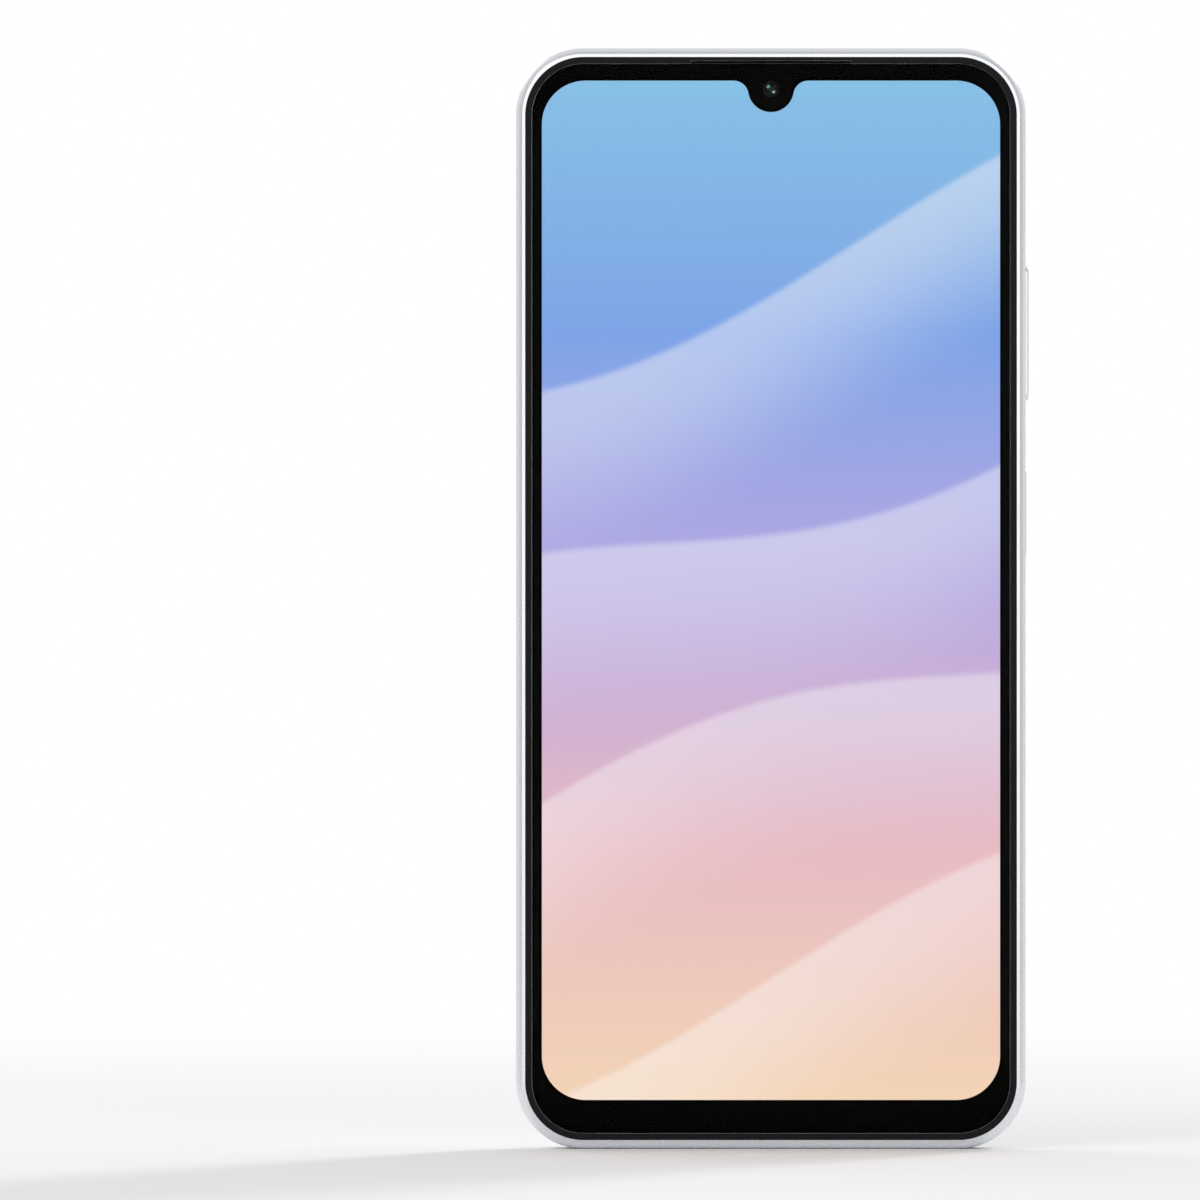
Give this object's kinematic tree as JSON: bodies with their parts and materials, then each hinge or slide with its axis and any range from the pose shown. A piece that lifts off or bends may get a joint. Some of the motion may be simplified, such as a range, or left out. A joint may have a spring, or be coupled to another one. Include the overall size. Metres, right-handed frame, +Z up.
{
  "type": "smartphone",
  "caption": "Smartphone with a notched display, separate rear camera rings, pressing side keys and a card tray that slides out, with its boards, battery, speaker and motor inside.",
  "frame": {"origin": "mouth of the charging port, in the middle of the flat bottom edge", "axes": "+Z up along the body's length, +X to the right as the display is seen, +Y from the display to the rear cover"},
  "size_m": [0.0783, 0.01, 0.168],
  "materials": {
    "frame_silver": "satin silver paint on moulded plastic, bright chamfers",
    "plate_metal": "die-cast, fine grain",
    "cover_silver": "silver pearl lacquer with soft light rays",
    "inner_plastic": "moulded, fine spark texture",
    "screw_steel": "zinc plated",
    "bezel_black": "moulded, satin black",
    "cover_glass": "polished cover glass",
    "border_ink": "deep black printed border",
    "display_cell": "lit display cell with an abstract gradient",
    "backlight_white": "white diffuser stack",
    "flex_amber": "polyimide film",
    "adhesive_black": "foam tape",
    "camera_black": "black moulded camera housing",
    "lens_glass": "coated lens",
    "shield_steel": "stamped nickel-silver sheet",
    "mesh_dark": "woven acoustic mesh",
    "board_green": "solder mask",
    "chip_black": "moulded chip package",
    "tray_silver": "satin silver paint on moulded plastic",
    "gasket_red": "silicone",
    "port_steel": "drawn stainless shell",
    "port_black": "moulded",
    "contact_gold": "gold plated",
    "cable_grey": "coaxial cable jacket",
    "battery_wrap": "laminated pouch in a matt wrap",
    "adhesive_white": "stretch-release strip",
    "rotor_metal": "sintered tungsten weight",
    "magnet_steel": "plated yoke and magnet",
    "cone_black": "moulded film cone",
    "barrel_grey": "moulded lens barrel",
    "ring_black": "black gloss ring with a bright cut edge",
    "window_glass": "dark printed sapphire-style window",
    "flash_clear": "clear ribbed flash lens",
    "led_yellow": "phosphor",
    "key_silver": "satin silver paint",
    "sensor_silver": "coated capacitive sensor"
  },
  "bodies": {
    "body": {"side_frame": "frame_silver", "mid_plate": "plate_metal", "rear_cover": "cover_silver", "upper_cover": "inner_plastic", "cover_screws": "screw_steel", "display_bezel": "bezel_black", "cover_glass": "cover_glass", "glass_border_print": "border_ink", "lcd_panel": "display_cell", "backlight_unit": "backlight_white", "display_flex": "flex_amber", "display_adhesive": "adhesive_black", "front_camera": "camera_black", "front_camera_lens": "lens_glass", "earpiece": "shield_steel", "earpiece_mesh": "mesh_dark", "light_sensor": "inner_plastic", "main_board": "board_green", "rear_shield": "shield_steel", "front_shield": "shield_steel", "board_chips": "chip_black", "card_socket": "shield_steel", "sub_board": "board_green", "usb_c_shell": "port_steel", "usb_c_tongue": "port_black", "headphone_jack": "port_black", "jack_contacts": "contact_gold", "microphones": "contact_gold", "main_flex": "flex_amber", "antenna_cable": "cable_grey", "battery": "battery_wrap", "battery_board": "board_green", "battery_adhesive": "adhesive_white", "motor_case": "shield_steel", "speaker_box": "inner_plastic", "speaker_lid": "inner_plastic", "speaker_driver": "magnet_steel", "speaker_mesh": "mesh_dark", "main_camera": "camera_black", "top_camera": "camera_black", "low_camera": "camera_black", "camera_ring_top": "ring_black", "camera_ring_mid": "ring_black", "camera_ring_low": "ring_black", "camera_window_top": "window_glass", "camera_window_mid": "window_glass", "camera_window_low": "window_glass", "flash_lens": "flash_clear", "flash_led": "led_yellow", "side_key_flex": "flex_amber", "key_bracket": "shield_steel"},
    "volume_key": {"volume_key": "key_silver"},
    "power_key": {"power_key": "key_silver", "fingerprint_sensor": "sensor_silver"},
    "card_tray": {"card_tray": "tray_silver", "tray_gasket": "gasket_red"},
    "focus_barrel": {"focus_barrel": "barrel_grey"},
    "motor_rotor": {"motor_rotor": "rotor_metal"},
    "speaker_diaphragm": {"speaker_diaphragm": "cone_black"}
  },
  "joints": [
    {"name": "volume_rock", "type": "hinge", "parent": "body", "child": "volume_key", "pos_m": [0.03585, 0, 0.1245], "axis": [0, 1, 0], "range_deg": [-1.5, 1.5], "stiffness_Nm_per_rad": 0.1},
    {"name": "power_press", "type": "slide", "parent": "body", "child": "power_key", "axis": [-1, 0, 0], "range_m": [0, 0.00025], "stiffness_N_per_m": 800},
    {"name": "tray_slide", "type": "slide", "parent": "body", "child": "card_tray", "axis": [-1, 0, 0], "range_m": [0, 0.03]},
    {"name": "focus_travel", "type": "slide", "parent": "body", "child": "focus_barrel", "axis": [0, 1, 0], "range_m": [0, 0.0003], "stiffness_N_per_m": 150},
    {"name": "motor_spin", "type": "hinge", "parent": "body", "child": "motor_rotor", "pos_m": [-0.03, 0, 0.0124], "axis": [0, 1, 0], "continuous": true},
    {"name": "cone_travel", "type": "slide", "parent": "body", "child": "speaker_diaphragm", "axis": [0, 1, 0], "range_m": [-0.0003, 0.0003], "stiffness_N_per_m": 200}
  ]
}
